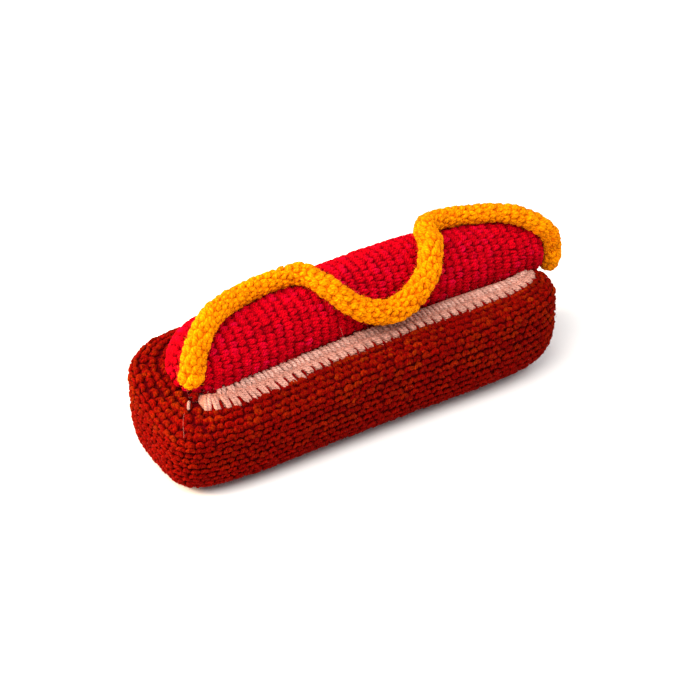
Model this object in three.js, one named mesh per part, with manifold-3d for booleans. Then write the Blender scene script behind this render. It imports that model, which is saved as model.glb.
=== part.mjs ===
// A crocheted, stuffed toy hot dog: a brown bun with a cream inside, a red sausage lying in it and a
// yellow tube of mustard winding over the sausage.
// Millimetres, +X along the bun, +Z up, the origin on the table under the middle of the whole toy.

import * as THREE from "three";
import { mergeVertices } from "three/addons/utils/BufferGeometryUtils.js";
import Module from "manifold-3d";

// Driving dimensions

const touchGap = 0.3; // clearance between two pieces that touch
const facetDepth = 0.12; // what flat facets take off a round form

const bun = {
  centreX: -5.42, // the bun's own middle, which puts the whole toy's middle at X = 0
  centreY: 0.9,
  halfLength: 100,
  halfWidth: 37.5,
  widestHeight: 26, // height of the widest row above the table
  shoulderRise: 17, // how far the shoulder goes on rising above the widest row
  cornerPower: 4.5, // how square the outline is from above, 2 being an ellipse
  lowerPower: 3.6, // how square the side is below the widest row
  upperPower: 5.2, // and above it
  soleFlat: 0.6, // what the stuffing flattens off the underside
  rimHalfWidth: 24.2, // half the width of the cream inside at the rim
  leftInset: { high: 1.25, low: 0.6 }, // how far each end draws in above and below the widest row,
  rightInset: { high: 0.4, low: 0.95 }, // for each millimetre that the side draws in
  rowPitch: 3.3, // one row of crochet
  rowRelief: 0.45, // half the depth of the groove between two rows
};

// How far the stuffed bun departs from a straight one.
const slump = {
  taper: 0.07, // it is wider to the right
  bow: -4, // its ends lean to the front
  leftSag: 3, // the rim drops towards the ends
  rightSag: 4.4,
  rightKick: 5, // and turns up again at the right-hand tip
  kickPower: 8, // how suddenly it does that
  reach: 30, // distance from the middle line at which the next two are given
  twist: -6.2, // a twist along the length
  farLeftLift: 7.5, // how much further its far left corner stands up
};

const inside = {
  depth: 14, // from the rim down to the inside's own underside
  floorInset: 3, // how far that underside stays inside the rim
  crown: 6.5, // the swell of the cream face above the rim
  crownLevels: [0.85, 0.65, 0.4, 0.15], // the crown's rings, as shares of the rim's width
};

const sausage = {
  radius: 17.6,
  halfLength: 96.8,
  leftRound: 1.15, // length of a rounded end over the radius
  rightRound: 0.65,
  shiftX: 11, // from the bun's middle
  shiftY: 1,
  sink: 12.8, // how far its ends sink below the rim
  arch: 6, // how far its middle humps above its ends
  tilt: 1.6, // how far the right-hand end is above the middle
  roundPitch: 4.4, // one round of crochet
  roundRelief: 0.4,
};

const mustard = {
  radii: [5.8, 5.1, 4.7, 5.1, 5.9, 5.6, 4.7, 4.5, 4.8], // at even distances along the tube
  sink: 2.4, // how far the tube sinks into the sausage
  press: 1.6, // how far the sausage gives way under it
  pressReach: 6, // and how far beside it
  roundPitch: 3.4,
  tip: 0.5, // how far a dome's point stands past the end of the centre line
};

// The mustard's way over the sausage: [distance along the sausage's skin from its left tip,
// angle round the sausage from straight up, degrees, positive to the front].
const mustardWay = [
  [12, 88], [14, 62], [18, 36], [27, 10], [39, -6], [54, -14], [68, -12], [76, 0],
  [82, 33], [91, 67], [105, 88], [118, 81], [129, 58], [136, 28], [139, 4], [146, -14],
  [158, -14], [174, 0], [187, 20], [197, 48], [202, 78], [202, 104], [200, 132],
];

const sides = { bun: 60, sausage: 20, mustard: 9 };

// How finely a curve is drawn before it is divided evenly.
const samples = { outline: 240, section: 60, curve: 600, pressLine: 140 };

const colours = { bun: 0x8c2a08, inside: 0xe9b7a4, sausage: 0xd8102c, mustard: 0xf5a400 };

// Helpers

const signedPower = (value, power) => Math.sign(value) * Math.abs(value) ** power;
const clamp01 = (value) => Math.min(1, Math.max(0, value));

// A closed body through rings of points, anticlockwise seen from the finish, with a point at each end.
function loft(start, rings, finish) {
  const count = rings[0].length;
  const points = [start, ...rings.flat(), finish];
  const last = points.length - 1;
  const faces = [];
  for (let i = 0; i < count; i += 1) {
    const next = (i + 1) % count;
    faces.push(0, 1 + next, 1 + i);
    for (let k = 0; k < rings.length - 1; k += 1) {
      const low = 1 + k * count;
      const high = low + count;
      faces.push(low + i, low + next, high + next, low + i, high + next, high + i);
    }
    const top = 1 + (rings.length - 1) * count;
    faces.push(last, top + i, top + next);
  }
  const geometry = new THREE.BufferGeometry();
  geometry.setAttribute("position", new THREE.Float32BufferAttribute(points.flatMap((p) => p.toArray()), 3));
  geometry.setIndex(faces);
  return geometry;
}

// Points at even distances along a curve, each with the curve's normal to its right-hand side.
function evenPoints(curve, pitch) {
  curve.arcLengthDivisions = samples.curve;
  const count = Math.round(curve.getLength() / pitch);
  return Array.from({ length: count + 1 }, (_, i) => {
    const point = curve.getPointAt(i / count);
    const tangent = curve.getTangentAt(i / count);
    return { point, normal: new THREE.Vector2(tangent.y, -tangent.x) };
  });
}

// The bun and its inside

// The height of the rim over the table, before the slump.
const rimHeight = bunSection(rimAngle())[1];

function rimAngle() {
  return Math.acos((bun.rimHalfWidth / bun.halfWidth) ** (bun.upperPower / 2));
}

// [reach from the middle line, height] on the bun's cross-section, for an angle up from the widest row.
function bunSection(angle) {
  const power = angle < 0 ? bun.lowerPower : bun.upperPower;
  const rise = angle < 0 ? bun.widestHeight : bun.shoulderRise;
  const height = bun.widestHeight + rise * signedPower(Math.sin(angle), 2 / power);
  return [bun.halfWidth * Math.cos(angle) ** (2 / power), Math.max(0, height - bun.soleFlat)];
}

// Puts a point of the straight bun where the slumped bun has it.
function slumped(x, y, z) {
  const along = x / bun.halfLength;
  const lift = clamp01(z / rimHeight);
  const sag = along < 0 ? slump.leftSag : slump.rightSag;
  const kick = along < 0 ? 0 : slump.rightKick;
  const corner = along < 0 ? slump.farLeftLift * along ** 2 * Math.max(0, y) : 0;
  const sideways = (slump.twist * along * y + corner) / slump.reach;
  const drop = sag * along ** 2 - kick * along ** slump.kickPower - sideways;
  return new THREE.Vector3(
    bun.centreX + x,
    bun.centreY + y * (1 + slump.taper * along) + slump.bow * along ** 2,
    z - drop * lift,
  );
}

// One level ring of the bun, grown by a clearance, with its points at even distances.
function bunRing(reach, height, clearance = 0) {
  const level = height < bun.widestHeight ? "low" : "high";
  const dense = [];
  for (let i = 0; i < samples.outline; i += 1) {
    const angle = (2 * Math.PI * i) / samples.outline;
    const inset = (Math.cos(angle) < 0 ? bun.leftInset : bun.rightInset)[level];
    const halfLength = bun.halfLength + clearance - inset * (bun.halfWidth - reach);
    dense.push(new THREE.Vector3(
      halfLength * signedPower(Math.cos(angle), 2 / bun.cornerPower),
      (reach + clearance) * signedPower(Math.sin(angle), 2 / bun.cornerPower),
      height,
    ));
  }
  const curve = new THREE.CatmullRomCurve3(dense, true);
  curve.arcLengthDivisions = samples.curve;
  return curve.getSpacedPoints(sides.bun).slice(0, sides.bun).map((p) => slumped(p.x, p.y, p.z));
}

// The whole bun, filled up to its rim, with a groove between each two rows of its side.
function bunBody() {
  const profile = Array.from({ length: samples.section + 1 }, (_, i) => {
    const angle = THREE.MathUtils.lerp(-Math.PI / 2, rimAngle(), i / samples.section);
    return new THREE.Vector2(...bunSection(angle));
  }).filter((p) => p.y > 0);
  const sole = new THREE.Vector2(profile[0].x - bun.rowPitch / 2, 0);
  const rows = evenPoints(new THREE.SplineCurve([sole, ...profile]), bun.rowPitch / 2);
  const rings = rows.map(({ point, normal }, i) => {
    const fade = clamp01(point.y / bun.rowPitch) * clamp01((rows.length - 1 - i) / 2);
    const relief = bun.rowRelief * fade * (i % 2 === 0 ? 1 : -1);
    return bunRing(point.x + relief * normal.x, Math.max(0, point.y + relief * normal.y));
  });
  return loft(slumped(0, 0, 0), rings, slumped(0, 0, rimHeight));
}

// The cream inside, grown by a clearance when it cuts its own seat in the bun.
function insideBody(clearance) {
  const rim = bun.rimHalfWidth;
  const floorHeight = rimHeight - inside.depth - clearance;
  const crown = inside.crown + clearance;
  const crownHeight = (level) => rimHeight + crown * (1 - level ** 2);
  const rings = [
    bunRing(rim - inside.floorInset, floorHeight, clearance),
    bunRing(rim, rimHeight, clearance),
    ...inside.crownLevels.map((level) => bunRing(rim * level, crownHeight(level), clearance)),
  ];
  return loft(slumped(0, 0, floorHeight), rings, slumped(0, 0, crownHeight(0)));
}

// The sausage and the mustard

// The sausage's skin from its left tip to its right tip: (distance from its middle, distance from its axis).
function sausageProfile(clearance) {
  const radius = sausage.radius + clearance;
  const leftEnd = sausage.radius * sausage.leftRound;
  const rightEnd = sausage.radius * sausage.rightRound;
  const skin = new THREE.Path();
  skin.absellipse(leftEnd - sausage.halfLength, 0, leftEnd + clearance, radius, Math.PI, Math.PI / 2, true);
  skin.absellipse(sausage.halfLength - rightEnd, 0, rightEnd + clearance, radius, Math.PI / 2, 0, true);
  return skin;
}

// A point at a distance along and off the sausage's axis, at an angle from straight up towards the front.
function roundSausage(along, off, angle) {
  const share = along / sausage.halfLength;
  const height = rimHeight + sausage.radius - sausage.sink + sausage.tilt * share
    + sausage.arch * (1 - share ** 2);
  return new THREE.Vector3(
    bun.centreX + sausage.shiftX + along,
    bun.centreY + sausage.shiftY - off * Math.sin(angle),
    height + off * Math.cos(angle),
  );
}

function sausageBody() {
  const rings = evenPoints(sausageProfile(0), sausage.roundPitch / 2).slice(1, -1).map(({ point }, i) => {
    const relief = sausage.roundRelief * (i % 2 === 0 ? -1 : 1) * (point.y / sausage.radius);
    return sausageRing(point.x, point.y + relief);
  });
  return sausageLoft(rings, sausage.halfLength);
}

// What the sausage takes out of its neighbours: its form without grooves, grown to leave the clearance.
function sausageSeat() {
  const clearance = touchGap + facetDepth + sausage.roundRelief;
  const rings = evenPoints(sausageProfile(clearance), sausage.roundPitch).slice(1, -1)
    .map(({ point }) => sausageRing(point.x, point.y));
  return sausageLoft(rings, sausage.halfLength + clearance);
}

function sausageRing(along, off) {
  return Array.from({ length: sides.sausage }, (_, k) => {
    const angle = (2 * Math.PI * k) / sides.sausage;
    return roundSausage(along, off - pressed(roundSausage(along, off, angle)), angle);
  });
}

// How far the mustard presses the sausage in at a point of its skin.
function pressed(point) {
  const nearest = Math.min(...mustardLine.map((p) => p.distanceTo(point)));
  const beside = Math.max(0, nearest - Math.min(...mustard.radii));
  return mustard.press * Math.exp(-((beside / mustard.pressReach) ** 2));
}

function sausageLoft(rings, reach) {
  return loft(roundSausage(-reach, 0, 0), rings, roundSausage(reach, 0, 0));
}

// The tube's centre line, one tube radius off the sausage's skin less what it sinks in.
function mustardCurve() {
  const skin = sausageProfile(0);
  const length = skin.getLength();
  const points = mustardWay.map(([distance, degrees], i) => {
    const share = distance / length;
    const point = skin.getPointAt(share);
    const tangent = skin.getTangentAt(share);
    const lift = mustardRadius(i / (mustardWay.length - 1)) - mustard.sink;
    const angle = THREE.MathUtils.degToRad(degrees);
    return roundSausage(point.x - lift * tangent.y, point.y + lift * tangent.x, angle);
  });
  const curve = new THREE.CatmullRomCurve3(points, false, "centripetal");
  curve.arcLengthDivisions = samples.curve;
  return curve;
}

function mustardRadius(share) {
  const place = share * (mustard.radii.length - 1);
  const cell = Math.min(Math.floor(place), mustard.radii.length - 2);
  return THREE.MathUtils.lerp(mustard.radii[cell], mustard.radii[cell + 1], place - cell);
}

// A round tube along the centre line that closes in a dome at each end.
function mustardBody() {
  const curve = mustardCurve();
  const length = curve.getLength();
  const count = Math.round(length / mustard.roundPitch);
  const frames = curve.computeFrenetFrames(count, false);
  const rings = [];
  for (let i = 0; i <= count; i += 1) {
    const share = i / count;
    const radius = mustardRadius(share);
    const toEnd = Math.min(share, 1 - share) * length;
    const dome = Math.sqrt(1 - (1 - clamp01((toEnd + mustard.tip) / radius)) ** 2);
    const centre = curve.getPointAt(share);
    rings.push(Array.from({ length: sides.mustard }, (_, k) => {
      const angle = (2 * Math.PI * k) / sides.mustard;
      return centre.clone()
        .addScaledVector(frames.normals[i], radius * dome * Math.cos(angle))
        .addScaledVector(frames.binormals[i], radius * dome * Math.sin(angle));
    }));
  }
  const tip = (share, past) => curve.getPointAt(share).addScaledVector(curve.getTangentAt(share), past);
  return loft(tip(0, -mustard.tip), rings, tip(1, mustard.tip));
}

// Cutting the pieces to each other

const mustardLine = mustardCurve().getSpacedPoints(samples.pressLine);
const wasm = await Module();
wasm.setup();

function toSolid(geometry) {
  const merged = mergeVertices(geometry);
  return new wasm.Manifold(new wasm.Mesh({
    numProp: 3,
    vertProperties: new Float32Array(merged.attributes.position.array),
    triVerts: new Uint32Array(merged.index.array),
  }));
}

// The largest body of a cut solid, without the scraps that a cut leaves.
function mainBody(solid) {
  return solid.decompose().reduce((most, body) => (body.volume() > most.volume() ? body : most));
}

function toGeometry(solid) {
  const mesh = solid.getMesh();
  const geometry = new THREE.BufferGeometry();
  geometry.setAttribute("position", new THREE.BufferAttribute(new Float32Array(mesh.vertProperties), 3));
  geometry.setIndex(new THREE.BufferAttribute(new Uint32Array(mesh.triVerts), 1));
  geometry.computeVertexNormals();
  return geometry;
}

function namedMesh(name, solid, colour) {
  const material = new THREE.MeshStandardMaterial({ color: colour, roughness: 0.9, metalness: 0 });
  const mesh = new THREE.Mesh(toGeometry(mainBody(solid)), material);
  mesh.name = name;
  return mesh;
}

const sausageCut = toSolid(sausageSeat());
const insideCut = toSolid(insideBody(touchGap));

const toy = new THREE.Group();
toy.add(
  namedMesh("bun", toSolid(bunBody()).subtract(insideCut).subtract(sausageCut), colours.bun),
  namedMesh("bun_inside", toSolid(insideBody(0)).subtract(sausageCut), colours.inside),
  namedMesh("sausage", toSolid(sausageBody()), colours.sausage),
  namedMesh("mustard", toSolid(mustardBody()).subtract(sausageCut), colours.mustard),
);

export default toy;
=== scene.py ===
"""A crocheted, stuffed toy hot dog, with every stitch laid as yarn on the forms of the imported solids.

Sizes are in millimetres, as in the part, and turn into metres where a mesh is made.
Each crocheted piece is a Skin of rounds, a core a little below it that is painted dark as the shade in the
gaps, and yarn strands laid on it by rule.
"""

import math

import bpy
import numpy as np
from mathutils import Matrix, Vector


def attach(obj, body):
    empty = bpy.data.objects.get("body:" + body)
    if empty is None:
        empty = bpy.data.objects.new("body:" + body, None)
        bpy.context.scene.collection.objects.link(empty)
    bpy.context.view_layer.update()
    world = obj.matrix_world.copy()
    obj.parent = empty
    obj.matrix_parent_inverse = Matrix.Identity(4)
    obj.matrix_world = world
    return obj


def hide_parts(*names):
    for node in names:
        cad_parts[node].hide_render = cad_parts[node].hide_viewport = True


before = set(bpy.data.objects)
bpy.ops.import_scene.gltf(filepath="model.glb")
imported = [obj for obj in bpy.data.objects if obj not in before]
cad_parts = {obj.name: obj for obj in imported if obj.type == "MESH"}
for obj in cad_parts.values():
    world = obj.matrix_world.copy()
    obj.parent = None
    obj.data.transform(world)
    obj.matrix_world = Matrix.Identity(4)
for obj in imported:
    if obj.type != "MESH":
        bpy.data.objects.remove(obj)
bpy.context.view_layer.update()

MM = 0.001
rng = np.random.default_rng(11)

# The bun, with the sizes of the part

BUN_CENTRE = (-5.42, 0.9)
HALF_LENGTH = 100
HALF_WIDTH = 37.5
WIDEST_HEIGHT = 26
SHOULDER_RISE = 17
CORNER_POWER = 4.5
LOWER_POWER = 3.6
UPPER_POWER = 5.2
SOLE_FLAT = 0.6
RIM_HALF_WIDTH = 24.2
HIGH_INSETS = (1.25, 0.4)
LOW_INSETS = (0.6, 0.95)
CROWN = 6.5
TAPER = 0.07
BOW = -4
LEFT_SAG = 3
RIGHT_SAG = 4.4
RIGHT_KICK = 5
TWIST = -6.2
FAR_LEFT_LIFT = 7.5
SLUMP_REACH = 30

# The sausage and the mustard, with the sizes of the part

SAUSAGE_RADIUS = 17.6
SAUSAGE_HALF_LENGTH = 96.8
END_ROUNDS = (1.15, 0.65)
SAUSAGE_SHIFT = (11, 1)
SINK = 12.8
ARCH = 6
TILT = 1.6
MUSTARD_RADII = (5.8, 5.1, 4.7, 5.1, 5.9, 5.6, 4.7, 4.5, 4.8)
MUSTARD_SINK = 2.4
MUSTARD_PRESS = 1.6
MUSTARD_PRESS_REACH = 6
LEAST_OFF = 0.02  # what the press leaves of the sausage's narrow tips, as a share of their radius
MUSTARD_WAY = (
    (12, 88), (14, 62), (18, 36), (27, 10), (39, -6), (54, -14), (68, -12), (76, 0),
    (82, 33), (91, 67), (105, 88), (118, 81), (129, 58), (136, 28), (139, 4), (146, -14),
    (158, -14), (174, 0), (187, 20), (197, 48), (202, 78), (202, 104), (200, 132),
)

# How finely the skins are sampled

BUN_SECTION_SAMPLES = 400
BUN_ROW_STEP = 0.7
BUN_AROUND = 480
SOLE_MIDDLE = 0.5  # half width of the round in the middle of the sole
CROWN_SAMPLES = 60
CROWN_MIDDLE = 0.02  # width of the round in the middle of the inside, as a share of the rim's
SAUSAGE_END_SAMPLES = 60
SAUSAGE_STRAIGHT_SAMPLES = 200
SAUSAGE_ROWS = 320
SAUSAGE_AROUND = 160
MUSTARD_WAY_SAMPLES = 1200
MUSTARD_PRESS_SAMPLES = 140
MUSTARD_ROWS = 500
MUSTARD_AROUND = 48
MUSTARD_END_BLUNT = 0.3  # how far the ends stop short of a point
TANGENT_REACH = 0.2  # how far to each side the sausage's section is sampled for its slope
NORMAL_REACH = 1.2  # how far to each side a skin is sampled for its normal

# The rows of stitches. A row's place is its distance across the rounds, for the bun from its sole's middle

BUN_ROW = 3.3
BUN_STITCH = 4.45
SOLE_START = 3  # no row of the sole lies further in
SOLE_END = 30
SIDE_END = 55
BUN_PARTS = (
    ("bun_sole", 0, SOLE_END),
    ("bun_side", SOLE_END, SIDE_END),
    ("bun_shoulder", SIDE_END, math.inf),
)
BROWN_END_ROWS = 8  # rows of brown that close over the left end of the inside
CREAM_ROW = 5
CREAM_ROWS = 4
CREAM_START = 1.8  # how much further in the cream rows lie, so that the teeth fit below them
CREAM_END = -85.8  # where the brown closes over the left end of the inside
CREAM_END_SLANT = 0.15  # how much further right the brown reaches for each mm to the far side
CREAM_CLEAR = 1.2  # how far the deeper rows of the inside stay clear of the sausage
LONG_TEETH_END = -38  # left of here the teeth on the edge of the inside reach further down
SAUSAGE_ROW = 4.4
SAUSAGE_STITCH = 3.05
MUSTARD_ROW = 3.4
MUSTARD_STITCHES = 6
LEAST_STITCHES = 4
DRIFT = 0.3  # how far each row's stitches slide along from the row before, in stitches
SEEN_HEIGHT = 36  # the sausage has stitches above this height,
SEEN_ENDS = 78  # and all round it past this distance to the left and right

# The cores

CORE_DEPTH = 1.3  # how far the cores of sausage and mustard lie below their skins
BUN_CORE_DEPTH = 1.6
INSIDE_CORE_DEPTH = 1.1
CORE_STEP = 1.4
BUN_CORE_SIDES = 240
SAUSAGE_CORE_SIDES = 120
MUSTARD_CORE_SIDES = 40
CORE_CLEAR = 1.0  # how far the cores of bun and inside stay clear of the sausage's skin
STITCH_TUCK = 1.0  # how far their stitches may reach under it
CORE_OFF_FLOOR = 0.3
YARN_OFF_FLOOR = 0.05

# The radii of the strands, and how the strands differ

BUN_YARN = 0.96
BUN_DEEP_YARN = 0.82
SLANT_YARN = 1.0
TOOTH_YARN = 0.95
SPIKE_YARN = 0.75
SAUSAGE_YARN = 0.92
MUSTARD_YARN = 1.22
TACK_YARN = 0.65
LOOSE_YARN = 0.04
FUZZ_YARN = 0.035
YARN_SPREAD = 0.08  # how much the strands of one piece differ in radius, as a share of it
YARN_END = 0.55  # how thin a strand's ends are, as a share of its radius
# Yarn is thicker where the rounds lie further apart than usual, and thinner where they lie closer, up to:
STRETCH_RANGE = (0.7, 1.4)
PLIES = 3
PLY_PITCH = 1.3  # distance along the yarn from one ply to the next
PLY_SHIFT = 20  # the plies of each strand start anywhere within this distance
TIP_START = 0.008  # the height, in metres, where the painted light of the tips begins if it comes in with height
FUZZ_ROOT = 0.6  # how far below the skin a loose fibre starts
FUZZ_LENGTHS = (0.5, 1.2)
FUZZ_LEAN = 0.9  # how far a loose fibre leans to a random side, for each 1 straight off the skin
FIBRE_HEIGHT = 1.2  # how far loose fibres count as standing proud, for their colour, which gives them no painted depth shade and some painted tip light

# Paths of single strands: share of the stitch's width along, mm towards the next row, mm out of the skin.
# A tooth is an edge stitch of the inside over the bun's rim, a slant is one leg of a stitch on the inside,
# and a spike is a brown loop that reaches up between two teeth.

TOOTH = ((-0.3, 4.6, -0.9), (-0.26, 3.7, 0.3), (-0.12, 2.1, 0.9), (0.03, 0.5, 0.9), (0.07, -0.3, 0.2))
LONG_TOOTH = ((-0.3, 4.6, -0.9), (-0.26, 3.6, 0.3), (-0.12, 1.7, 0.9), (0.03, -0.6, 0.9), (0.09, -1.9, 0.2))
# The slant's heights are set high; as lay puts the top of every path at the same place over the skin, they
# only make its colour lighter: painted light on the inside's rows next to the sausage, which lie in its
# shade.
SLANT = ((-0.34, 2.6, -0.3), (-0.3, 1.7, 0.9), (-0.2, 0, 1.5), (-0.12, -1.6, 0.9), (-0.1, -2.5, -0.1))
SPIKE = ((0.56, -2.0, -0.6), (0.56, -0.8, 0.5), (0.52, 0.9, 0.7), (0.42, 2.6, -0.3))

# A pale stitch that tacks the sausage down by its left end, and two loose pale fibres: points close to them,
# and how far they then stand off the skin

TACK = (
    (-91.8, -14.6, 38.1), (-91.2, -13.6, 38.5), (-90.6, -12.7, 38.8), (-90, -11.8, 39), (-89.4, -11, 39.2),
)
TACK_LIFT = (-0.2, 0.7, 0.9, 0.8, 0.1)
LOOSE_END = ((-94.7, -16, 37.5), (-96.8, -19, 36), (-98.5, -22, 34.5), (-100, -25, 32))
LOOSE_END_LIFT = (0.2, 1.3, 1.1, 0.9)
LOOSE_WISP = ((-17.3, -16.4, 51.5), (-17, -16.6, 49.5), (-16.6, -16.5, 47.5), (-16.2, -16.2, 45.5))
LOOSE_WISP_LIFT = (0.2, 1.4, 1.6, 1.2)


# Numbers and curves


def signed_power(value, power):
    return np.sign(value) * np.abs(value) ** power


def unit(vectors):
    return vectors / np.maximum(np.linalg.norm(vectors, axis=-1, keepdims=True), 1e-9)


def smooth_samples(control, count):
    """Catmull-Rom samples of (N, K, D) control points, as (N, count, D)."""
    last = control.shape[1] - 1
    ends = [2 * control[:, :1] - control[:, 1:2], control, 2 * control[:, -1:] - control[:, -2:-1]]
    padded = np.concatenate(ends, axis=1)
    place = np.linspace(0, last, count)
    cell = np.minimum(place.astype(int), last - 1)
    t = (place - cell)[None, :, None]
    p0, p1, p2, p3 = (padded[:, cell + i] for i in range(4))
    return 0.5 * (
        2 * p1 + (p2 - p0) * t + (2 * p0 - 5 * p1 + 4 * p2 - p3) * t**2 + (3 * p1 - p0 - 3 * p2 + p3) * t**3
    )


def running_length(points):
    """Distance along a polyline of (M, D) points, starting at 0."""
    return np.concatenate([[0], np.cumsum(np.linalg.norm(np.diff(points, axis=0), axis=1))])


def carried_sides(line, start):
    """Two unit vectors square to (..., M, 3) lines and to each other, carried along without twist."""
    tangent = unit(np.gradient(line, axis=-2))
    side = np.zeros_like(line)
    side[..., 0, :] = unit(np.cross(tangent[..., 0, :], start))
    for i in range(1, line.shape[-2]):
        lean = (side[..., i - 1, :] * tangent[..., i, :]).sum(axis=-1, keepdims=True)
        side[..., i, :] = unit(side[..., i - 1, :] - lean * tangent[..., i, :])
    return side, np.cross(tangent, side)


class Skin:
    """A surface of closed rounds. row is the distance across the rounds, turn the share of the way round."""

    def __init__(self, rows, points):
        self.rows = np.asarray(rows, float)
        self.points = points
        around = np.linalg.norm(np.roll(points, -1, axis=1) - points, axis=2)
        self.lengths = around.sum(axis=1)

    def round_length(self, row):
        return np.interp(row, self.rows, self.lengths)

    def at(self, row, turn):
        row, turn = np.broadcast_arrays(row, turn)
        place = np.interp(row, self.rows, np.arange(len(self.rows)))
        low = np.minimum(place.astype(int), len(self.rows) - 2)
        up = (place - low)[..., None]
        count = self.points.shape[1]
        way = (turn % 1) * count
        left = way.astype(int) % count
        right = (left + 1) % count
        over = (way - np.floor(way))[..., None]
        near = self.points[low, left] * (1 - over) + self.points[low, right] * over
        far = self.points[low + 1, left] * (1 - over) + self.points[low + 1, right] * over
        return near * (1 - up) + far * up

    def along(self, row, turn):
        """A short vector along the round."""
        step = NORMAL_REACH / np.maximum(self.round_length(row), 4 * NORMAL_REACH)
        return self.at(row, turn + step) - self.at(row, turn - step)

    def normal(self, row, turn):
        across = self.at(row + NORMAL_REACH, turn) - self.at(row - NORMAL_REACH, turn)
        return unit(np.cross(self.along(row, turn), across))


# The bun's skin


def slumped(x, y, z, rim_height):
    """Points of the straight bun, as the toy's own twist, bow and droop leave them."""
    along = x / HALF_LENGTH
    lift = np.clip(z / rim_height, 0, 1)
    sag = np.where(along < 0, LEFT_SAG, RIGHT_SAG)
    kick = np.where(along < 0, 0, RIGHT_KICK)
    corner = np.where(along < 0, FAR_LEFT_LIFT * along**2 * np.maximum(y, 0), 0)
    drop = sag * along**2 - kick * along**8 - (TWIST * along * y + corner) / SLUMP_REACH
    moved_y = BUN_CENTRE[1] + y * (1 + TAPER * along) + BOW * along**2
    return np.stack([BUN_CENTRE[0] + x, moved_y, z - drop * lift], axis=-1)


def bun_section(angle):
    power = np.where(angle < 0, LOWER_POWER, UPPER_POWER)
    rise = np.where(angle < 0, WIDEST_HEIGHT, SHOULDER_RISE)
    height = WIDEST_HEIGHT + rise * signed_power(np.sin(angle), 2 / power)
    return HALF_WIDTH * np.abs(np.cos(angle)) ** (2 / power), height - SOLE_FLAT


RIM_ANGLE = math.acos((RIM_HALF_WIDTH / HALF_WIDTH) ** (UPPER_POWER / 2))
RIM_HEIGHT = float(bun_section(np.array(RIM_ANGLE))[1])


def bun_round(reach, height):
    """One level round of the bun, at even distances."""
    angle = np.linspace(0, 2 * math.pi, 3 * BUN_AROUND + 1)
    inset = np.where(np.cos(angle) < 0, *(LOW_INSETS if height < WIDEST_HEIGHT else HIGH_INSETS))
    x = (HALF_LENGTH - inset * (HALF_WIDTH - reach)) * signed_power(np.cos(angle), 2 / CORNER_POWER)
    y = reach * signed_power(np.sin(angle), 2 / CORNER_POWER)
    way = running_length(np.stack([x, y], axis=1))
    even = np.linspace(0, way[-1], BUN_AROUND, endpoint=False)
    heights = np.full(BUN_AROUND, height)
    return slumped(np.interp(even, way, x), np.interp(even, way, y), heights, RIM_HEIGHT)


def bun_skin():
    """The whole bun, from its sole's middle up to the rim and on over the inside, and the rim's row."""
    reach, height = bun_section(np.linspace(-math.pi / 2, RIM_ANGLE, BUN_SECTION_SAMPLES))
    above = height > 0
    level = np.linspace(1, CROWN_MIDDLE, CROWN_SAMPLES)[1:]
    outside = np.stack([np.r_[SOLE_MIDDLE, reach[above]], np.r_[0, height[above]]], axis=1)
    over = np.stack([RIM_HALF_WIDTH * level, RIM_HEIGHT + CROWN * (1 - level**2)], axis=1)
    rim = running_length(outside)[-1]
    section = np.concatenate([outside, over])
    way = running_length(section)
    rows = np.linspace(0, way[-1], int(way[-1] / BUN_ROW_STEP))
    reaches = np.interp(rows, way, section[:, 0])
    heights = np.interp(rows, way, section[:, 1])
    return Skin(rows, np.stack([bun_round(r, h) for r, h in zip(reaches, heights)])), rim


# The sausage's and the mustard's skins


def axis_height(share):
    """Height of the sausage's axis, with share from -1 at its left end to 1 at its right."""
    return RIM_HEIGHT + SAUSAGE_RADIUS - SINK + TILT * share + ARCH * (1 - share**2)


def round_sausage(along, off, angle):
    """The point off the sausage's axis by a distance, at an angle from straight up towards the near side."""
    x = BUN_CENTRE[0] + SAUSAGE_SHIFT[0] + along
    y = BUN_CENTRE[1] + SAUSAGE_SHIFT[1] - off * np.sin(angle)
    z = axis_height(along / SAUSAGE_HALF_LENGTH) + off * np.cos(angle)
    return np.stack(np.broadcast_arrays(x, y, z), axis=-1)


def sausage_section():
    """(distance from the sausage's middle, distance from its axis) from its left tip to its right tip."""
    left, right = (SAUSAGE_RADIUS * share for share in END_ROUNDS)
    quarter = np.linspace(0, math.pi / 2, SAUSAGE_END_SAMPLES)
    left_straight, right_straight = left - SAUSAGE_HALF_LENGTH, SAUSAGE_HALF_LENGTH - right
    start = np.stack([left_straight - left * np.cos(quarter), SAUSAGE_RADIUS * np.sin(quarter)], axis=1)
    finish = np.stack([right_straight + right * np.sin(quarter), SAUSAGE_RADIUS * np.cos(quarter)], axis=1)
    middle = np.linspace(left_straight, right_straight, SAUSAGE_STRAIGHT_SAMPLES)[1:-1]
    return np.concatenate([start, np.stack([middle, np.full(len(middle), SAUSAGE_RADIUS)], axis=1), finish])


def mustard_radius(share):
    return np.interp(share, np.linspace(0, 1, len(MUSTARD_RADII)), MUSTARD_RADII)


def mustard_line(count):
    """Points of the mustard's middle line at even distances, its radius at each, and its length."""
    section = sausage_section()
    way = running_length(section)

    def section_point(distance):
        return np.array([np.interp(distance, way, section[:, i]) for i in (0, 1)])

    radii = mustard_radius(np.linspace(0, 1, len(MUSTARD_WAY)))
    stations = []
    for (distance, degrees), radius in zip(MUSTARD_WAY, radii):
        tangent = unit(section_point(distance + TANGENT_REACH) - section_point(distance - TANGENT_REACH))
        out = np.array([-tangent[1], tangent[0]])
        along, off = section_point(distance) + (radius - MUSTARD_SINK) * out
        stations.append(round_sausage(along, off, math.radians(degrees)))
    dense = smooth_samples(np.array(stations)[None], MUSTARD_WAY_SAMPLES)[0]
    way_along = running_length(dense)
    even = np.linspace(0, way_along[-1], count)
    line = np.stack([np.interp(even, way_along, dense[:, i]) for i in range(3)], axis=1)
    return line, mustard_radius(even / way_along[-1]), way_along[-1]


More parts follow.
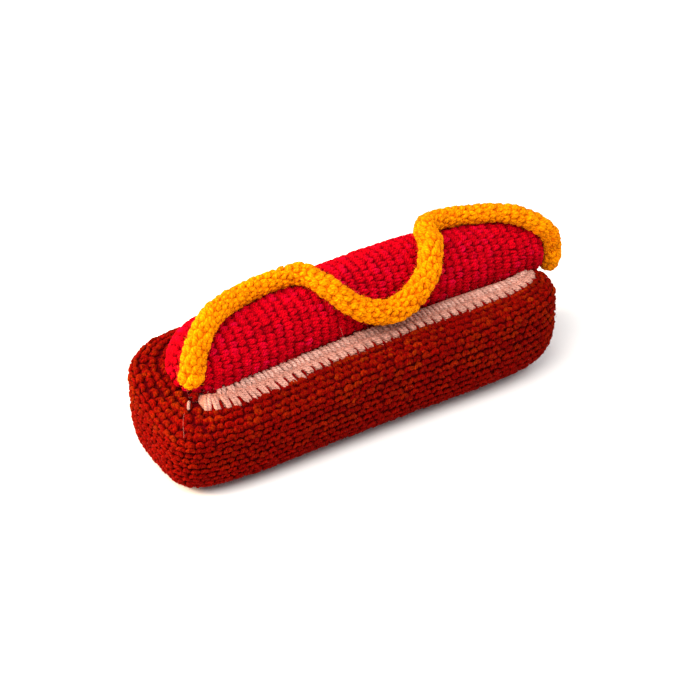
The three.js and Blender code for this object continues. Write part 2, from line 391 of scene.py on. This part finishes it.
def pressed(points, line):
    """How far the mustard presses the sausage in at each point of its skin."""
    nearest = np.sqrt(((points[:, :, None] - line) ** 2).sum(axis=-1)).min(axis=-1)
    beside = np.maximum(nearest - min(MUSTARD_RADII), 0)
    return MUSTARD_PRESS * np.exp(-((beside / MUSTARD_PRESS_REACH) ** 2))


def sausage_skin():
    section = sausage_section()
    way = running_length(section)
    rows = np.linspace(0, way[-1], SAUSAGE_ROWS)
    along = np.interp(rows, way, section[:, 0])[:, None]
    off = np.interp(rows, way, section[:, 1])[:, None]
    angle = np.linspace(0, 2 * math.pi, SAUSAGE_AROUND, endpoint=False)[None, :]
    line, _, _ = mustard_line(MUSTARD_PRESS_SAMPLES)
    dent = np.concatenate([pressed(row[None], line) for row in round_sausage(along, off, angle)])
    return Skin(rows, round_sausage(along, np.maximum(off - dent, LEAST_OFF * off), angle))


def mustard_skin():
    """The mustard's tube, with a dome at each end."""
    line, radii, length = mustard_line(MUSTARD_ROWS)
    side, other = carried_sides(line, (0.3, 0.2, 1.0))
    rows = np.linspace(0, length, MUSTARD_ROWS)
    to_end = np.minimum(rows, length - rows)
    dome = np.sqrt(1 - (1 - np.clip((to_end + MUSTARD_END_BLUNT) / radii, 0, 1)) ** 2)
    angle = np.linspace(0, 2 * math.pi, MUSTARD_AROUND, endpoint=False)
    spoke = np.cos(angle)[None, :, None] * side[:, None] + np.sin(angle)[None, :, None] * other[:, None]
    return Skin(rows, line[:, None] + (radii * dome)[:, None, None] * spoke)


def inside_sausage(points):
    """How far points lie inside the sausage's skin, negative outside it."""
    along = points[..., 0] - BUN_CENTRE[0] - SAUSAGE_SHIFT[0]
    height = axis_height(np.clip(along / SAUSAGE_HALF_LENGTH, -1, 1))
    off = np.hypot(points[..., 1] - BUN_CENTRE[1] - SAUSAGE_SHIFT[1], points[..., 2] - height)
    end = SAUSAGE_RADIUS * np.where(along < 0, *END_ROUNDS)
    beyond = np.clip((np.abs(along) - (SAUSAGE_HALF_LENGTH - end)) / end, 0, 1)
    return SAUSAGE_RADIUS * np.sqrt(1 - beyond**2) - off


# Meshes


def make_mesh(name, points, faces, material, values, uv=None):
    """A smooth mesh object from points in millimetres and a list of face arrays, each (F, corners)."""
    mesh = bpy.data.meshes.new(name)
    corners = np.concatenate([f.ravel() for f in faces]).astype(np.int32)
    sizes = np.concatenate([np.full(len(f), f.shape[1]) for f in faces])
    starts = np.concatenate([[0], np.cumsum(sizes)[:-1]]).astype(np.int32)
    mesh.vertices.add(len(points))
    mesh.vertices.foreach_set("co", (points * MM).astype(np.float32).ravel())
    mesh.loops.add(len(corners))
    mesh.loops.foreach_set("vertex_index", corners)
    mesh.polygons.add(len(sizes))
    mesh.polygons.foreach_set("loop_start", starts)
    mesh.polygons.foreach_set("use_smooth", np.ones(len(sizes), bool))
    for attribute, numbers in values.items():
        layer = mesh.attributes.new(attribute, "FLOAT", "POINT")
        layer.data.foreach_set("value", numbers.astype(np.float32).ravel())
    mesh.update(calc_edges=True)
    if uv is not None:
        layer = mesh.uv_layers.new(name="yarn")
        layer.data.foreach_set("uv", uv.astype(np.float32).ravel())
    mesh.materials.append(material)
    piece = bpy.data.objects.new(name, mesh)
    bpy.context.scene.collection.objects.link(piece)
    return piece


def tube_faces(strands, rings, sides):
    """The walls, start caps and end caps of many equal tubes."""
    strand = np.arange(strands)[:, None, None] * rings * sides
    ring = strand + np.arange(rings - 1)[None, :, None] * sides
    side = np.arange(sides)[None, None, :]
    following = (side + 1) % sides
    corners = [ring + side, ring + following, ring + sides + following, ring + sides + side]
    walls = np.stack(corners, axis=-1).reshape(-1, 4)
    first = np.arange(strands)[:, None] * rings * sides
    starts = first + np.arange(sides)[::-1][None]
    ends = first + (rings - 1) * sides + np.arange(sides)[None]
    return [walls, starts, ends]


def strand_uv(run, sides):
    """UV of tube_faces' corners: distance along the yarn and share of the way round it, none on the caps."""
    turn = np.arange(sides) / sides
    corner_run = np.stack([run[:, :-1], run[:, :-1], run[:, 1:], run[:, 1:]], axis=-1)
    corner_run = np.repeat(corner_run[:, :, None], sides, axis=2)
    corner_turn = np.stack([turn, turn + 1 / sides, turn + 1 / sides, turn], axis=-1)
    corner_turn = np.broadcast_to(corner_turn, corner_run.shape)
    walls = np.stack([corner_run, corner_turn], axis=-1).reshape(-1, 2)
    caps = np.zeros((2 * len(run) * sides, 2))
    return np.concatenate([walls, caps])


def yarn_mesh(name, layers, material, sides, rings):
    """One mesh of all the strands. Each layer is (paths, heights, radius): (N, K, 3), (N, K) and (N,)."""
    points, depths, shades, runs = [], [], [], []
    angle = np.arange(sides) * 2 * math.pi / sides
    width = np.ones(rings)
    width[[0, -1]] = YARN_END
    for paths, heights, radius in layers:
        sampled = smooth_samples(np.concatenate([paths, heights[..., None]], axis=2), rings)
        line, height = sampled[..., :3], sampled[..., 3]
        side, other = carried_sides(line, unit(paths[:, -1] - paths[:, 0] + 1e-3))
        thick = (radius * rng.normal(1, YARN_SPREAD, len(line)))[:, None] * width[None]
        spokes = np.cos(angle)[:, None] * side[:, :, None] + np.sin(angle)[:, None] * other[:, :, None]
        points.append((line[:, :, None] + thick[:, :, None, None] * spokes).reshape(-1, 3))
        depths.append(np.repeat(height[:, :, None], sides, axis=2).ravel())
        shades.append(np.repeat(rng.normal(0, 1, len(line)), rings * sides))
        steps = np.linalg.norm(np.diff(line, axis=1), axis=2)
        run = np.concatenate([np.zeros((len(line), 1)), np.cumsum(steps, axis=1)], axis=1)
        runs.append(run + rng.uniform(0, PLY_SHIFT, (len(line), 1)))
    points = np.concatenate(points)
    points[:, 2] = np.maximum(points[:, 2], YARN_OFF_FLOOR)
    run = np.concatenate(runs)
    values = {"height": np.concatenate(depths), "shade": np.concatenate(shades)}
    faces = tube_faces(len(run), rings, sides)
    return make_mesh(name, points, faces, material, values, uv=strand_uv(run, sides))


def skin_core(name, skin, material, rows, depth, sides, shape=None):
    """A closed core that follows a skin at a depth below it, from a first row to a last one."""
    steps = np.arange(*rows, CORE_STEP)
    row, turn = np.meshgrid(steps, np.linspace(0, 1, sides, endpoint=False), indexing="ij")
    points = skin.at(row, turn) - depth * skin.normal(row, turn)
    if shape is not None:
        points = shape(points)
    points[..., 2] = np.maximum(points[..., 2], CORE_OFF_FLOOR)
    poles = np.stack([points[0].mean(axis=0), points[-1].mean(axis=0)])
    walls, _, _ = tube_faces(1, len(steps), sides)
    last = len(steps) * sides
    side = np.arange(sides)
    following = (side + 1) % sides
    bottom = np.stack([side, np.full(sides, last), following], axis=1)
    top = np.stack([last - sides + side, last - sides + following, np.full(sides, last + 1)], axis=1)
    points = np.concatenate([points.reshape(-1, 3), poles])
    # The core's height lies below the deepest yarn, so it takes the deep colour all over: painted shade for
    # the gaps between the stitches.
    values = {"height": np.full(len(points), -CORE_DEPTH), "shade": np.zeros(len(points))}
    return make_mesh(name, points, [walls, bottom, top], material, values)


# Stitches


def stitch_places(skin, rows, width=None, count=None, test=None):
    """(row, turn, width) of every stitch in rounds at these rows, where the skin passes the test."""
    places = []
    for k, row in enumerate(rows):
        length = float(skin.round_length(row))
        number = count or max(LEAST_STITCHES, round(length / width))
        turn = (np.arange(number) + DRIFT * k) / number
        places.append(np.stack([np.full(number, row), turn, np.full(number, length / number)], axis=1))
    places = np.concatenate(places)
    if test is None:
        return places
    return places[test(skin.at(places[:, 0], places[:, 1]))]


def lay(skin, places, path, radius, wobble, proud=0.2):
    """One strand per stitch, as a layer for yarn_mesh. Their tops stand proud of the skin by that much."""
    path = np.array(path, float)
    lift = proud - path[:, 2].max() - radius
    row, turn, width = places.T
    way = unit(skin.along(row, turn))
    ahead = 0.5 * (skin.at(row + 1, turn) - skin.at(row - 1, turn))
    shear = (ahead * way).sum(axis=1)
    stretch = np.clip(np.linalg.norm(ahead - shear[:, None] * way, axis=1), *STRETCH_RANGE)
    noise = rng.normal(0, wobble, (len(row), len(path), 3)) + rng.normal(0, wobble, (len(row), 1, 3))
    rows = row[:, None] + path[None, :, 1] + noise[..., 1]
    along = path[None, :, 0] * width[:, None] + noise[..., 0] - shear[:, None] * path[None, :, 1]
    turns = turn[:, None] + along / skin.round_length(row)[:, None]
    heights = path[None, :, 2] + 0.5 * noise[..., 2]
    rows = np.clip(rows, skin.rows[0], skin.rows[-1])
    points = skin.at(rows, turns) + (heights + lift)[..., None] * skin.normal(rows, turns)
    return points, heights, radius * np.sqrt(stretch)


def arch(height, spread, top, foot=-0.72, shoulder=-0.08):
    """A single crochet seen as a small arch: up from a deep foot, over, and down to the other foot.

    spread is half its width in stitches. foot, shoulder and top are heights in rows.
    """
    knee = 0.45 * foot + 0.55 * shoulder
    leg = [
        (-spread, foot * height, -1.0),
        (-spread - 0.03, knee * height, 0.3),
        (-spread, shoulder * height, 0.95),
    ]
    bridge = [(-0.1, top * height, 0.85), (0.1, top * height, 0.85)]
    return leg + bridge + [(-a, b, c) for a, b, c in reversed(leg)]


def beside(path, along, up=0):
    """The path of a second strand that lies beside a first one."""
    return [(a + along, b + up, c) for a, b, c in path]


def skin_path(skin, marks, heights):
    """The line through the marks, with its middle moved onto the skin, lifted off it by the heights."""
    marks = np.array(marks)
    middle = marks[len(marks) // 2]
    away = np.linalg.norm(skin.points - middle, axis=2)
    nearest_row, nearest_way = np.unravel_index(away.argmin(), away.shape)
    row, turn = skin.rows[nearest_row], nearest_way / skin.points.shape[1]
    moved = skin.at(row, turn) - middle
    return marks + moved + np.array(heights)[:, None] * skin.normal(np.array(row), turn)


# Materials


class Tree:
    """A material's nodes, with a method for each kind of node that the yarn needs."""

    def __init__(self, material):
        material.use_nodes = True
        self.nodes = material.node_tree.nodes
        self.links = material.node_tree.links
        self.shader = self.nodes["Principled BSDF"]

    def feed(self, socket, value):
        if isinstance(value, bpy.types.NodeSocket):
            self.links.new(value, socket)
        else:
            socket.default_value = value

    def attribute(self, name):
        node = self.nodes.new("ShaderNodeAttribute")
        node.attribute_name = name
        return node.outputs["Fac"]

    def object_place(self):
        return self.nodes.new("ShaderNodeTexCoord").outputs["Object"]

    def axes(self, vector):
        node = self.nodes.new("ShaderNodeSeparateXYZ")
        self.feed(node.inputs[0], vector)
        return node.outputs

    def calculate(self, operation, first, second=0.0):
        node = self.nodes.new("ShaderNodeMath")
        node.operation = operation
        self.feed(node.inputs[0], first)
        self.feed(node.inputs[1], second)
        return node.outputs[0]

    def times(self, first, second):
        return self.calculate("MULTIPLY", first, second)

    def spread(self, value, low, high, to_low=0.0, to_high=1.0):
        node = self.nodes.new("ShaderNodeMapRange")
        ends = {"From Min": low, "From Max": high, "To Min": to_low, "To Max": to_high}
        for name, end in ends.items():
            node.inputs[name].default_value = end
        self.feed(node.inputs["Value"], value)
        return node.outputs["Result"]

    def noise(self, scale, detail=2.0):
        node = self.nodes.new("ShaderNodeTexNoise")
        node.inputs["Scale"].default_value = scale
        node.inputs["Detail"].default_value = detail
        self.feed(node.inputs["Vector"], self.object_place())
        return node.outputs["Fac"]

    def grey(self, level):
        node = self.nodes.new("ShaderNodeCombineColor")
        for socket in node.inputs:
            self.feed(socket, level)
        return node.outputs[0]

    def mix(self, blend, factor, first, second):
        """A Mix node of colours, whose colour sockets are its inputs 6 and 7 and its output 2."""
        node = self.nodes.new("ShaderNodeMix")
        node.data_type = "RGBA"
        node.blend_type = blend
        self.feed(node.inputs["Factor"], factor)
        self.feed(node.inputs[6], first)
        self.feed(node.inputs[7], second)
        return node.outputs[2]


def ply_wave(tree):
    """A wave that runs round the yarn in slanting bands, one for each ply."""
    uv = tree.nodes.new("ShaderNodeUVMap")
    uv.uv_map = "yarn"
    along, around, _ = tree.axes(uv.outputs["UV"])
    plies = tree.times(around, PLIES * 2 * math.pi)
    turns = tree.times(along, 2 * math.pi / PLY_PITCH)
    return tree.calculate("SINE", tree.calculate("ADD", plies, turns))


def tip_share(tree, height, tip_from):
    """How much of the tip colour, which is painted light, shows: in random patches, on the yarn that stands
    most proud.
    """
    patches = tree.spread(tree.noise(scale=90), 0.35, 0.65, 0, 0.6)
    share = tree.times(tree.spread(height, 0.8, 1.5), patches)
    if tip_from > 0:
        above_floor = tree.axes(tree.object_place())[2]
        share = tree.times(share, tree.spread(above_floor, TIP_START, tip_from))
    return share


def yarn_level(tree, wave):
    """How light the yarn is, strand by strand, in mottled patches and fibre by fibre, with painted shade in
    the grooves between its plies.
    """
    level = tree.spread(tree.attribute("shade"), -2, 2, 0.84, 1.14)
    mottle = tree.spread(tree.noise(scale=800), 0.3, 0.7, 0.76, 1.22)
    fibres = tree.spread(tree.noise(scale=2600, detail=3), 0.3, 0.7, 0.7, 1.26)
    # Painted shade: darker in the troughs of the wave, the grooves between the plies.
    plies = tree.spread(wave, -1, 0.4, 0.72, 1.06)
    for factor in (mottle, fibres, plies):
        level = tree.times(level, factor)
    return level


def yarn_material(name, colour, deep, tip, sheen, tip_from=0.0):
    """Plied yarn: darker in the depth as painted shade, lighter in patches where it stands proud as painted
    light, each strand a little different.

    The painted light of the tips comes in from close to the floor up to the height tip_from, in metres.
    """
    material = bpy.data.materials.new(name)
    tree = Tree(material)
    height = tree.attribute("height")
    wave = ply_wave(tree)
    # Painted shade: the deep colour where the yarn lies low, its plain colour where it stands up; then the
    # painted light of the tips.
    body = tree.mix("MIX", tree.spread(height, -0.3, 0.9), (*deep, 1), (*colour, 1))
    body = tree.mix("MIX", tip_share(tree, height, tip_from), body, (*tip, 1))
    body = tree.mix("MULTIPLY", 1.0, body, tree.grey(yarn_level(tree, wave)))
    bump = tree.nodes.new("ShaderNodeBump")
    bump.inputs["Strength"].default_value = 0.5
    bump.inputs["Distance"].default_value = 0.0002
    tree.feed(bump.inputs["Height"], tree.calculate("ADD", wave, tree.noise(scale=3500)))
    inputs = tree.shader.inputs
    tree.feed(inputs["Base Color"], body)
    tree.feed(inputs["Normal"], bump.outputs["Normal"])
    inputs["Roughness"].default_value = 0.85
    inputs["Specular IOR Level"].default_value = 0.02
    inputs["Sheen Weight"].default_value = 0.03
    inputs["Sheen Roughness"].default_value = 0.5
    inputs["Sheen Tint"].default_value = (*sheen, 1)
    return material


# The skins and the yarns

bun_surface, rim_row = bun_skin()
sausage_surface = sausage_skin()
mustard_surface = mustard_skin()

# Each deep colour is painted shade, for the hollows between the strands and for the cores; each tip colour
# is painted light, for the proudest strands.
brown = yarn_material(
    "bun_yarn",
    colour=(0.21, 0.001, 0.0),
    deep=(0.1, 0.0, 0.002),
    tip=(0.44, 0.065, 0.0),
    sheen=(1, 0.2, 0.05),
    tip_from=0.042,
)
cream = yarn_material(
    "inside_yarn",
    colour=(0.56, 0.265, 0.205),
    deep=(0.53, 0.23, 0.17),
    tip=(0.7, 0.45, 0.38),
    sheen=(1, 0.7, 0.6),
)
red = yarn_material(
    "sausage_yarn",
    colour=(0.53, 0.0, 0.006),
    deep=(0.21, 0.0, 0.004),
    tip=(0.74, 0.003, 0.08),
    sheen=(1, 0.05, 0.1),
)
yellow = yarn_material(
    "mustard_yarn",
    colour=(0.87, 0.25, 0.0),
    deep=(0.64, 0.12, 0.0),
    tip=(0.93, 0.34, 0.0),
    sheen=(1, 0.5, 0.05),
)


# The forms of the cores, and where each yarn shows


def dented(points):
    """Lowers points that would be in the sausage, or too close below it."""
    moved = points.copy()
    moved[..., 2] -= np.maximum(inside_sausage(points) + CORE_CLEAR, 0)
    return moved


def cream_form(points):
    """The core of the inside: dented by the sausage, and cut off where the brown closes over it."""
    moved = dented(points)
    moved[..., 0] = np.maximum(moved[..., 0], CREAM_END)
    return moved


def outside_sausage(points):
    return inside_sausage(points) < STITCH_TUCK


def cream_part(points):
    """Where the inside shows: past the brown that closes over its left end."""
    end = CREAM_END + CREAM_END_SLANT * np.maximum(points[..., 1], 0)
    return outside_sausage(points) & (points[..., 0] > end)


def deep_cream_part(points):
    return cream_part(points) & (inside_sausage(points) < -CREAM_CLEAR)


def brown_end(points):
    return outside_sausage(points) & ~cream_part(points)


def above_bun(points):
    return (points[..., 2] > SEEN_HEIGHT) | (np.abs(points[..., 0]) > SEEN_ENDS)


# The pieces, in the order of their random draws


def finish_piece(piece):
    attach(piece, "root")


def make_bun():
    """The bun's core, and its stitches in three pieces. Only the sole has no second strand in its arches."""
    rows = (1, rim_row)
    bun_core = skin_core("bun_core", bun_surface, brown, rows, BUN_CORE_DEPTH, BUN_CORE_SIDES, dented)
    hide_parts("bun")
    finish_piece(bun_core)

    side_rows = np.arange(rim_row - 0.5 * BUN_ROW, SOLE_START, -BUN_ROW)[::-1]
    end_rows = rim_row + BUN_ROW * np.arange(0.5, BROWN_END_ROWS)
    side_places = stitch_places(bun_surface, side_rows, BUN_STITCH, test=outside_sausage)
    end_places = stitch_places(bun_surface, end_rows, BUN_STITCH, test=brown_end)
    places = np.concatenate([side_places, end_places])
    outer = arch(BUN_ROW, spread=0.33, top=0.2, foot=-0.56, shoulder=-0.08)
    inner = arch(BUN_ROW, spread=0.1, top=0.0, foot=-0.5, shoulder=-0.15)
    for name, first, last in BUN_PARTS:
        part = places[(places[:, 0] >= first) & (places[:, 0] < last)]
        strands = [lay(bun_surface, part, outer, BUN_YARN, wobble=0.24)]
        if name != "bun_sole":
            strands.append(lay(bun_surface, part, inner, BUN_DEEP_YARN, wobble=0.24, proud=0.05))
        finish_piece(yarn_mesh(name + "_stitches", strands, brown, sides=5, rings=8))


def make_inside():
    """The core and stitches of the inside, its teeth, and the brown loops that reach up between them."""
    rows = (rim_row - 2, bun_surface.rows[-1])
    inside_core = skin_core(
        "inside_core", bun_surface, cream, rows, INSIDE_CORE_DEPTH, BUN_CORE_SIDES, cream_form
    )
    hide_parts("bun_inside")
    finish_piece(inside_core)

    rows = rim_row + CREAM_ROW * np.arange(1, CREAM_ROWS + 1) + CREAM_START
    teeth = stitch_places(bun_surface, [rim_row], BUN_STITCH, test=cream_part)
    first_row = stitch_places(bun_surface, rows[:1], BUN_STITCH, test=cream_part)
    deeper_rows = stitch_places(bun_surface, rows[1:], BUN_STITCH, test=deep_cream_part)
    places = np.concatenate([first_row, deeper_rows])
    pair = (SLANT, beside(SLANT, 0.5))
    strands = [lay(bun_surface, places, path, SLANT_YARN, wobble=0.14) for path in pair]
    to_left = bun_surface.at(teeth[:, 0], teeth[:, 1])[:, 0] < LONG_TEETH_END
    for part, tooth in ((teeth[~to_left], TOOTH), (teeth[to_left], LONG_TOOTH)):
        for path in (tooth, beside(tooth, 0.3, up=0.3)):
            strands.append(lay(bun_surface, part, path, TOOTH_YARN, wobble=0.1, proud=0.5))
    finish_piece(yarn_mesh("inside_stitches", strands, cream, sides=6, rings=8))

    spikes = [lay(bun_surface, teeth, SPIKE, SPIKE_YARN, wobble=0.15)]
    finish_piece(yarn_mesh("brown_spikes", spikes, brown, sides=6, rings=8))


def make_sausage():
    rows = (0.8, sausage_surface.rows[-1])
    sausage_core = skin_core("sausage_core", sausage_surface, red, rows, CORE_DEPTH, SAUSAGE_CORE_SIDES)
    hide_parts("sausage")
    finish_piece(sausage_core)

    rows = np.arange(0.5 * SAUSAGE_ROW, sausage_surface.rows[-1], SAUSAGE_ROW)
    places = stitch_places(sausage_surface, rows, SAUSAGE_STITCH, test=above_bun)
    path = arch(SAUSAGE_ROW, spread=0.25, top=0.3)
    strands = [lay(sausage_surface, places, path, SAUSAGE_YARN, wobble=0.2)]
    finish_piece(yarn_mesh("sausage_stitches", strands, red, sides=6, rings=9))


def make_mustard():
    rows = (1.0, mustard_surface.rows[-1])
    mustard_core = skin_core(
        "mustard_core", mustard_surface, yellow, rows, CORE_DEPTH, MUSTARD_CORE_SIDES
    )
    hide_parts("mustard")
    finish_piece(mustard_core)

    rows = np.arange(0.5 * MUSTARD_ROW, mustard_surface.rows[-1], MUSTARD_ROW)
    places = stitch_places(mustard_surface, rows, count=MUSTARD_STITCHES)
    path = arch(MUSTARD_ROW, spread=0.25, top=0.3)
    strands = [lay(mustard_surface, places, path, MUSTARD_YARN, wobble=0.22)]
    finish_piece(yarn_mesh("mustard_stitches", strands, yellow, sides=6, rings=10))


def make_loose_ends():
    """The pale stitch that tacks the sausage down, and two loose pale fibres."""
    lines = (
        (skin_path(bun_surface, TACK, TACK_LIFT), TACK_YARN),
        (skin_path(bun_surface, LOOSE_END, LOOSE_END_LIFT), LOOSE_YARN),
        (skin_path(sausage_surface, LOOSE_WISP, LOOSE_WISP_LIFT), LOOSE_YARN),
    )
    strands = []
    for path, radius in lines:
        strands.append((path[None], np.full((1, len(path)), FIBRE_HEIGHT), np.array([radius])))
    finish_piece(yarn_mesh("tack_and_loose_ends", strands, cream, sides=6, rings=14))


def fuzz(name, skin, material, rows, number, test=None):
    """Loose fibres that stand off the yarn in every direction."""
    row = rng.uniform(*rows, number)
    share = skin.round_length(row) / skin.lengths.max()
    row = row[rng.uniform(0, 1, number) < share]
    turn = rng.uniform(0, 1, len(row))
    if test is not None:
        shows = test(skin.at(row, turn))
        row, turn = row[shows], turn[shows]
    normal = skin.normal(row, turn)
    drift = rng.normal(0, 1, (len(row), 3))
    bend = rng.normal(0, 0.5, (len(row), 3))
    length = rng.uniform(*FUZZ_LENGTHS, (len(row), 1))
    root = skin.at(row, turn) - FUZZ_ROOT * normal
    middle = root + length * unit(normal + FUZZ_LEAN * drift)
    tip = middle + 0.8 * length * unit(0.5 * normal + FUZZ_LEAN * drift + bend)
    paths = np.stack([root, middle, tip], axis=1)
    strands = [(paths, np.full(paths.shape[:2], FIBRE_HEIGHT), np.full(len(row), FUZZ_YARN))]
    finish_piece(yarn_mesh(name, strands, material, sides=3, rings=4))


make_bun()
make_inside()
make_sausage()
make_mustard()
make_loose_ends()
bun_sides = (SOLE_END, rim_row)
inside_edge = (rim_row, rim_row + 12)
whole_sausage = (0, sausage_surface.rows[-1])
whole_mustard = (0, mustard_surface.rows[-1])
fuzz("bun_fuzz", bun_surface, brown, bun_sides, number=8500, test=outside_sausage)
fuzz("inside_fuzz", bun_surface, cream, inside_edge, number=1200, test=outside_sausage)
fuzz("sausage_fuzz", sausage_surface, red, whole_sausage, number=6000, test=above_bun)
fuzz("mustard_fuzz", mustard_surface, yellow, whole_mustard, number=5000)


# Floor, light and camera, in metres


def plain_material(name, colour, roughness):
    material = bpy.data.materials.new(name)
    material.use_nodes = True
    shader = material.node_tree.nodes["Principled BSDF"]
    shader.inputs["Base Color"].default_value = (*colour, 1)
    shader.inputs["Roughness"].default_value = roughness
    return material


def floor():
    reach = 3.0
    mesh = bpy.data.meshes.new("floor")
    corners = [(-reach, -reach, 0), (reach, -reach, 0), (reach, reach, 0), (-reach, reach, 0)]
    mesh.from_pydata(corners, [], [(0, 1, 2, 3)])
    mesh.materials.append(plain_material("floor_paper", colour=(0.9, 0.9, 0.9), roughness=0.9))
    piece = bpy.data.objects.new("floor", mesh)
    bpy.context.scene.collection.objects.link(piece)


def area_light(name, place, size, power, colour=(1, 1, 1)):
    """A round lamp that points at the origin."""
    light = bpy.data.lights.new(name, "AREA")
    light.shape = "DISK"
    light.size = size
    light.energy = power
    light.color = colour
    lamp = bpy.data.objects.new(name, light)
    lamp.location = place
    lamp.rotation_mode = "QUATERNION"
    lamp.rotation_quaternion = (-Vector(place)).to_track_quat("-Z", "Y")
    bpy.context.scene.collection.objects.link(lamp)


def soft_world(strength):
    world = bpy.data.worlds.new("studio")
    world.use_nodes = True
    world.node_tree.nodes["Background"].inputs["Color"].default_value = (1, 1, 1, 1)
    world.node_tree.nodes["Background"].inputs["Strength"].default_value = strength
    bpy.context.scene.world = world


def photo_camera(place, aim, lens):
    data = bpy.data.cameras.new("camera")
    data.sensor_width = 36
    data.lens = lens
    data.clip_start = 0.05
    camera = bpy.data.objects.new("camera", data)
    camera.location = place
    camera.rotation_mode = "QUATERNION"
    camera.rotation_quaternion = (Vector(aim) - Vector(place)).to_track_quat("-Z", "Y")
    bpy.context.scene.collection.objects.link(camera)
    bpy.context.scene.camera = camera


floor()
area_light("key", place=(-0.55, -0.15, 1.0), size=1.2, power=20, colour=(1, 0.96, 0.9))
area_light("left", place=(-0.9, 0.55, 0.5), size=0.5, power=24, colour=(1, 0.72, 0.45))
area_light("fill", place=(0.7, -0.5, 0.9), size=0.8, power=6.5)
soft_world(0.45)
photo_camera(place=(-0.38726, -0.59342, 0.51488), aim=(-0.00665, -0.00733, 0.03099), lens=98.85)
bpy.context.scene.view_settings.view_transform = "Standard"
